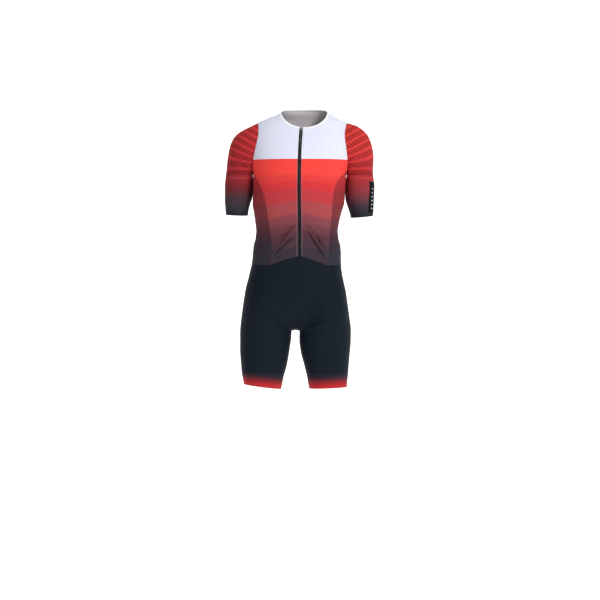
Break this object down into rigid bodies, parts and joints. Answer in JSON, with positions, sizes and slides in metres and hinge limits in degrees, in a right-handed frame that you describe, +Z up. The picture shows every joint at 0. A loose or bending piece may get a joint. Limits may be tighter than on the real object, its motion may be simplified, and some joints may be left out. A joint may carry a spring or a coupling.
{
  "type": "triathlon suit",
  "caption": "One-piece short-sleeved race suit with a front zip and legs to above the knee, in its hollow worn form: white yoke, red body fading to dark, black shorts.",
  "frame": {"origin": "between the shoulders, level with the shoulder ends of the neckline, where the wearer carries the suit", "axes": "+Z up the body, -Y out of the front, +X toward the wearer's left"},
  "size_m": [0.4965, 0.2327, 0.93],
  "materials": {
    "white_mesh": "matt white warp-knit mesh",
    "red_knit": "matt printed knit, bright red fading to dark plum at the waist",
    "side_mesh": "matt printed mesh, dark red fading to charcoal",
    "sleeve_knit": "matt textured knit with a tone-on-tone print, red fading to black at the cuff",
    "cuff_elastic": "matt black bonded elastic hem",
    "binding": "white folded binding",
    "zip_tape": "black woven tape",
    "zip_coil": "black nylon coil",
    "zip_metal": "black enamelled zinc",
    "shorts_knit": "dark charcoal warp knit with a slight sheen",
    "leg_elastic": "printed elastic band, red at the hem fading to charcoal"
  },
  "bodies": {
    "suit": {"yoke_front_left": "white_mesh", "yoke_front_right": "white_mesh", "back_yoke": "white_mesh", "front_left": "red_knit", "front_right": "red_knit", "back": "red_knit", "side_left": "side_mesh", "side_right": "side_mesh", "sleeve_left": "sleeve_knit", "sleeve_right": "sleeve_knit", "cuff_left": "cuff_elastic", "cuff_right": "cuff_elastic", "neck_binding": "binding", "zip_tape_left": "zip_tape", "zip_tape_right": "zip_tape", "zip_chain": "zip_coil", "zip_slider": "zip_metal", "shorts_left": "shorts_knit", "shorts_right": "shorts_knit", "leg_band_left": "leg_elastic", "leg_band_right": "leg_elastic"},
    "pull_tab": {"pull_tab": "zip_metal"}
  },
  "joints": [
    {"name": "pull_tab_hinge", "type": "hinge", "parent": "suit", "child": "pull_tab", "pos_m": [0.00292, -0.07827, -0.07103], "axis": [-1, 0, 0], "range_deg": [0, 140]}
  ]
}
